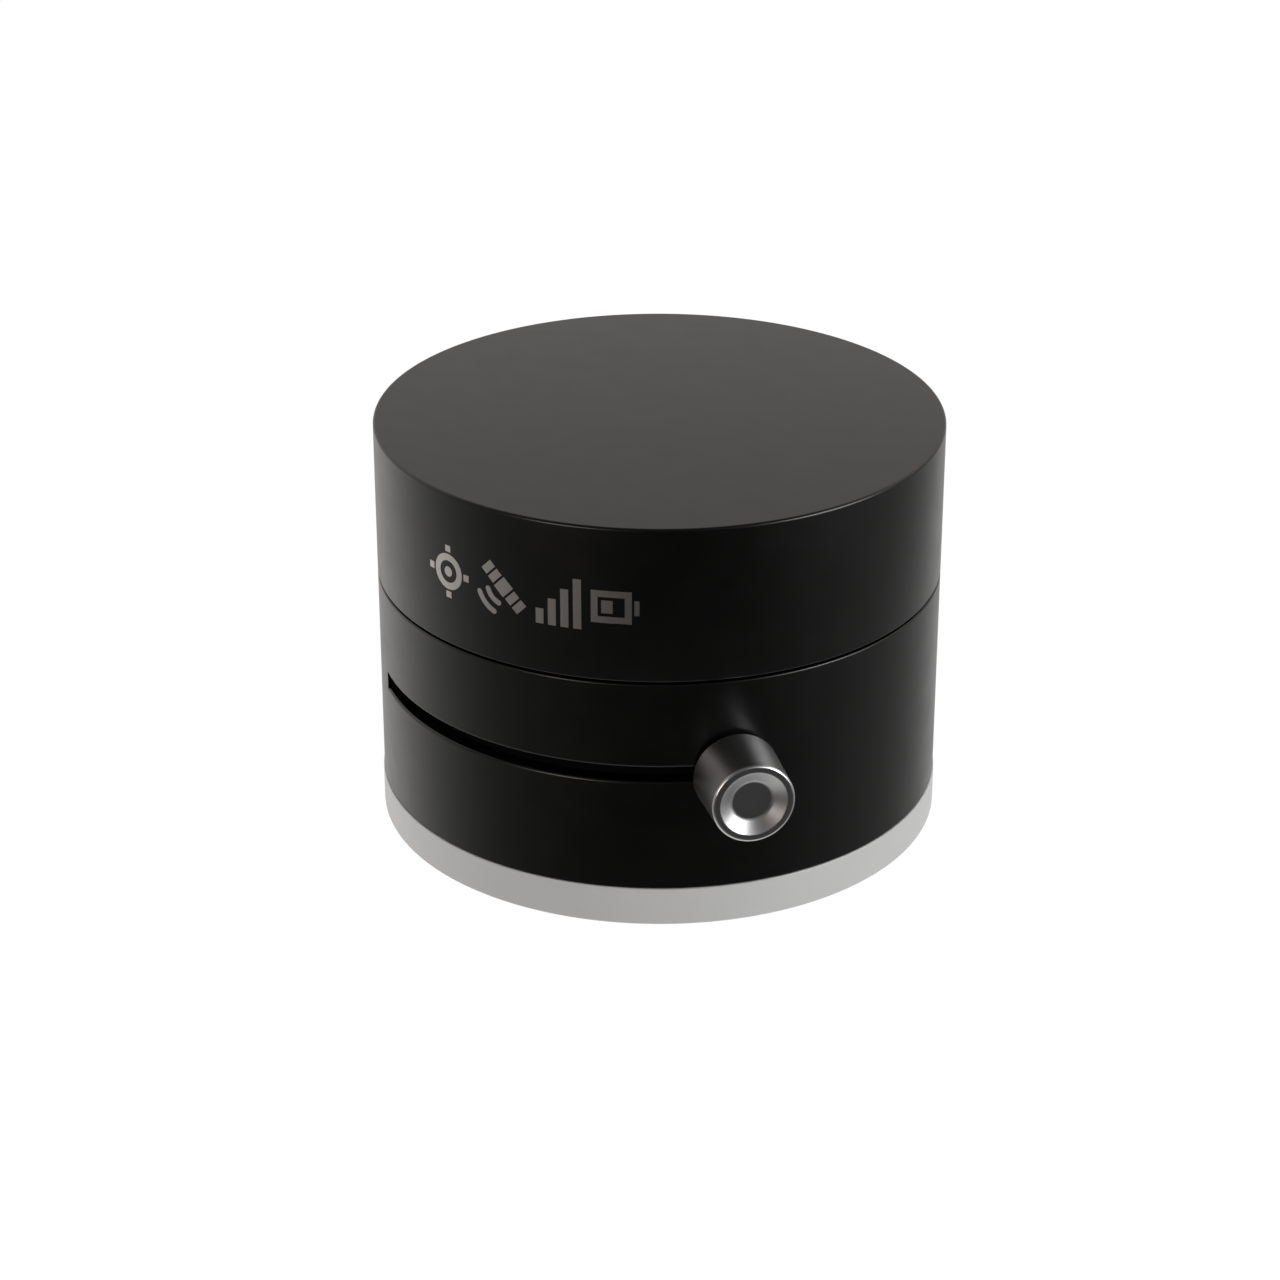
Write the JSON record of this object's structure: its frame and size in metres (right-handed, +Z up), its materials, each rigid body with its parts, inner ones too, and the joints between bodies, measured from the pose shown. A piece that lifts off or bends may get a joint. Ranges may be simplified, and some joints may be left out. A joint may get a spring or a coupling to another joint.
{
  "type": "gnss receiver",
  "caption": "Cylindrical satellite-positioning receiver with a side lever that locks it onto a round quick-release mounting plate.",
  "frame": {"origin": "centre of the pole thread, in the plane that the mounting plate rests on", "axes": "+Z up along the body's axis, -Y is the front; the lever knob points to the front, 14.4 degrees towards +X"},
  "size_m": [0.1204, 0.1343, 0.0887],
  "materials": {
    "housing": "satin black moulded",
    "radome": "satin black moulded",
    "plate": "satin pale grey moulded",
    "turned_metal": "satin turned",
    "brass": "turned",
    "steel": "bright",
    "dark_steel": "blackened",
    "rubber": "matte",
    "white_plastic": "smooth slide bearing",
    "dark_plastic": "moulded",
    "drum": "glass-filled moulded",
    "tub": "dark anodised",
    "aluminium": "clear anodised",
    "board_green": "solder mask",
    "board_blue": "solder mask",
    "tin": "tinned",
    "ceramic": "silvered ceramic",
    "flex": "copper film",
    "chip": "moulded package",
    "cell_wrap": "shrink sleeve",
    "wire": "insulation",
    "lens": "frosted"
  },
  "bodies": {
    "base": {"mounting_plate": "plate", "pole_thread_insert": "brass", "lock_studs": "steel", "stud_screws": "dark_steel", "grip_ring": "rubber", "seat_gasket": "rubber"},
    "receiver": {"housing": "housing", "radome": "radome", "glide_ring": "white_plastic", "retaining_ring": "dark_steel", "detent_plunger": "steel", "housing_screws": "dark_steel", "electronics_tub": "tub", "tub_oring": "rubber", "radome_screws": "steel", "radome_oring": "rubber", "pillar_orings": "rubber", "ground_plate": "aluminium", "ground_plate_screws": "steel", "lna_board": "board_green", "lna_standoffs": "brass", "lna_screws": "steel", "lna_shield": "tin", "patch_lower": "ceramic", "patch_upper": "ceramic", "patch_feed_pins": "brass", "choke_ring": "aluminium", "choke_screws": "steel", "wireless_antenna": "flex", "antenna_coax": "brass", "main_board": "board_blue", "board_spacers": "brass", "board_screws": "steel", "gnss_module": "tin", "modem_module": "tin", "board_chips": "chip", "usb_socket": "tin", "sim_socket": "tin", "power_switch": "chip", "battery_cells": "cell_wrap", "battery_tray": "dark_plastic", "battery_strap": "dark_plastic", "battery_lead": "wire", "port_bezel": "dark_plastic", "port_gasket": "rubber", "status_lenses": "lens", "button_bush": "dark_plastic", "door_hinge_pin": "steel"},
    "lock_ring": {"lock_drum": "drum", "knob_stud": "steel", "knob_washer": "dark_plastic"},
    "knob": {"knob": "turned_metal"},
    "port_door": {"port_door": "housing"},
    "power_button": {"power_button": "turned_metal", "button_oring": "rubber", "button_clip": "steel"}
  },
  "joints": [
    {"name": "receiver_lift", "type": "slide", "parent": "base", "child": "receiver", "axis": [0, 0, 1], "range_m": [0, 0.04]},
    {"name": "lock_lever", "type": "hinge", "parent": "receiver", "child": "lock_ring", "pos_m": [0, 0, 0.03475], "axis": [0, 0, 1], "range_deg": [-86, 0]},
    {"name": "knob_screw", "type": "hinge", "parent": "lock_ring", "child": "knob", "pos_m": [0.01641, -0.06393, 0.03475], "axis": [0.2487, -0.9686, 0], "range_deg": [0, 120]},
    {"name": "port_door_hinge", "type": "hinge", "parent": "receiver", "child": "port_door", "pos_m": [0.01521, 0.05675, 0.0451], "axis": [0, 0, -1], "range_deg": [0, 95]},
    {"name": "power_button_press", "type": "slide", "parent": "receiver", "child": "power_button", "axis": [0.3907, -0.9205, 0], "range_m": [0, 0.0006], "stiffness_N_per_m": 1500}
  ]
}
